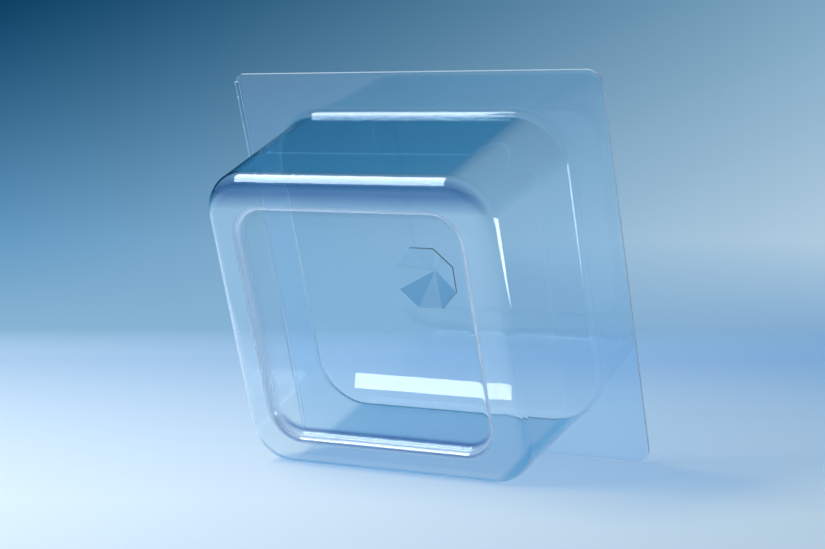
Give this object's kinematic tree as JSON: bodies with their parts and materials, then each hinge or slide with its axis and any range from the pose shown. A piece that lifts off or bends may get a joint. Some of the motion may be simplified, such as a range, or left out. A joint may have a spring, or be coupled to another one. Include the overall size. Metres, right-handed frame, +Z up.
{
  "type": "plastic clamshell pack",
  "caption": "Clear thermoformed clamshell pack: a deep square blister with a wide flange and recessed front window, closed by a hinged flat back sheet.",
  "frame": {"origin": "on the table, under the middle of the standing pack's bounding box", "axes": "+Z up, front window towards -Y, fold on the left at -X; the pack leans forward as it stands"},
  "size_m": [0.13, 0.085, 0.1236],
  "materials": {
    "clear_shell": "gloss",
    "clear_lid": "gloss"
  },
  "bodies": {
    "shell": {"front_shell": "clear_shell"},
    "lid": {"back_lid": "clear_lid"}
  },
  "joints": [
    {"name": "lid_hinge", "type": "hinge", "parent": "shell", "child": "lid", "pos_m": [-0.0643, 0.02136, 0.0618], "axis": [0, -0.3175, 0.9483], "range_deg": [0, 180]}
  ]
}
